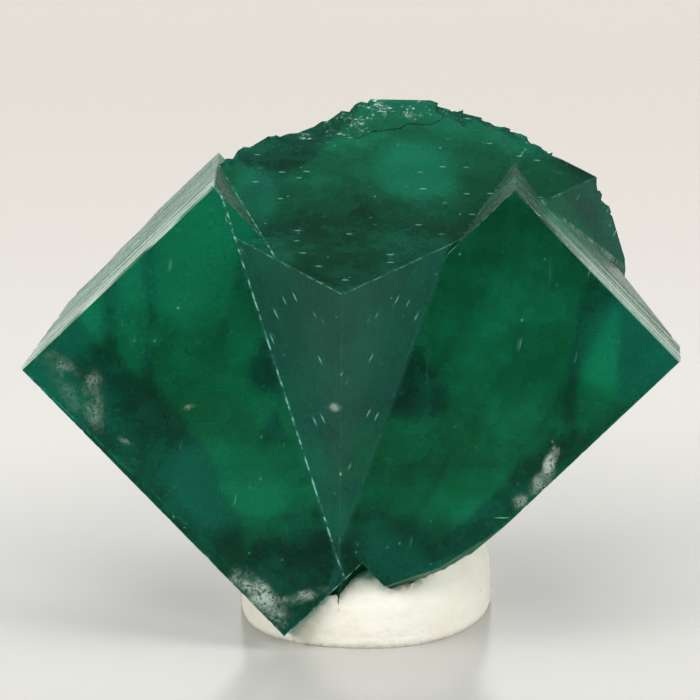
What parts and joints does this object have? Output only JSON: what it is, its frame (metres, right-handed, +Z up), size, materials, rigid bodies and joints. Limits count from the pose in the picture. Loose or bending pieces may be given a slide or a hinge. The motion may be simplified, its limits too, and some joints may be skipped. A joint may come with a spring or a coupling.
{
  "type": "fluorite twin crystal cluster",
  "caption": "Deep green fluorite penetration twin, cubes grown through each other, standing in a small white putty pad with a flat underside.",
  "frame": {"origin": "middle of the bounding box at the flat underside of the putty pad", "axes": "+Z up, +X to the viewer's right along the wings' width, -Y towards the viewer who sees the big front faces"},
  "size_m": [0.036, 0.022, 0.0259],
  "materials": {
    "crystal": "clear deep green, glossy faces",
    "putty": "matte off-white putty"
  },
  "bodies": {
    "root": {"fluorite_twin": "crystal", "putty_pad": "putty"}
  },
  "joints": []
}
